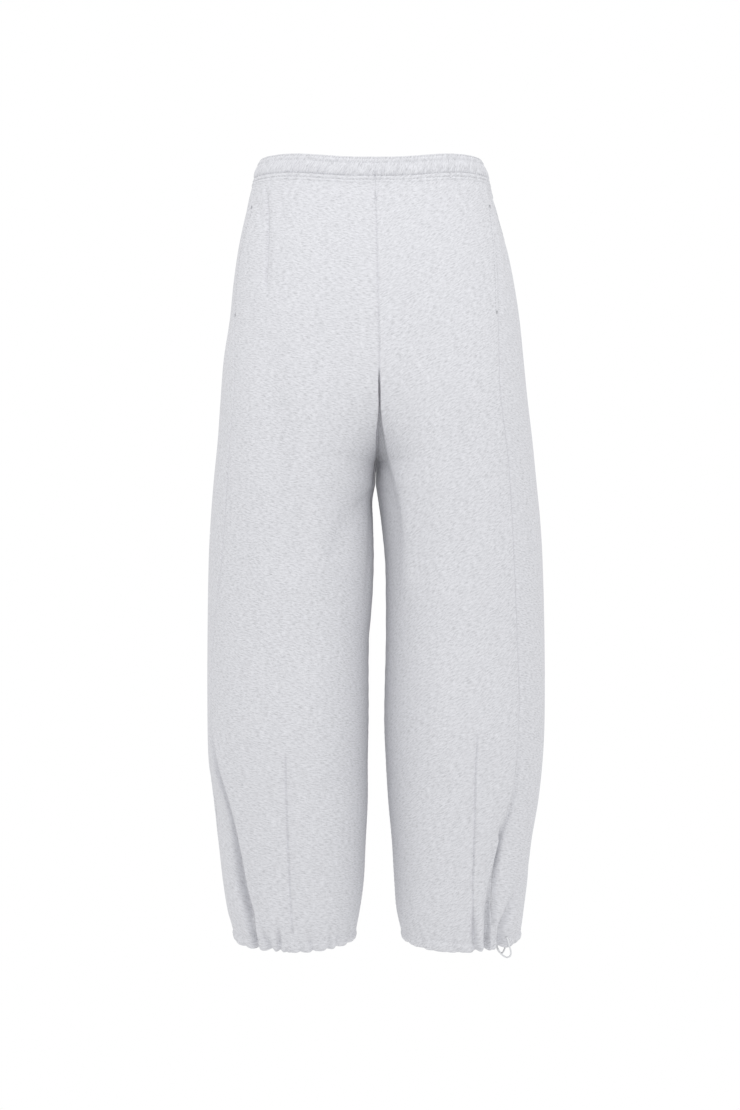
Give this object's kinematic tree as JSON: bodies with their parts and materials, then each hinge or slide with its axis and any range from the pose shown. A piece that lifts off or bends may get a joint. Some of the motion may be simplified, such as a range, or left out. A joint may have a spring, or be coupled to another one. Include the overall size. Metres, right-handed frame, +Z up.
{
  "type": "jogger sweatpants",
  "caption": "Balloon-leg jogger sweatpants in heather grey fleece, filled out as worn, with a gathered elastic waistband, side-seam pockets and drawcord-gathered hems.",
  "frame": {"origin": "middle of the waist opening, level with the top edge of the waistband at the side seams, where the wearer's waist holds the garment", "axes": "+Z up towards the waist, the front faces -Y, the wearer's right leg is at -X"},
  "size_m": [0.4204, 0.267, 1.0021],
  "materials": {
    "fleece": "matt heather grey brushed-back fleece jersey with short darker flecks",
    "pocketing": "matt light grey single jersey",
    "cord": "matt light grey braided cotton cord"
  },
  "bodies": {
    "root": {"waistband": "fleece", "front_right": "fleece", "front_left": "fleece", "back_right": "fleece", "back_left": "fleece", "pocket_bag_right": "pocketing", "pocket_bag_left": "pocketing", "hem_casing_right": "fleece", "hem_casing_left": "fleece", "hem_drawcord_left": "cord"}
  },
  "joints": []
}
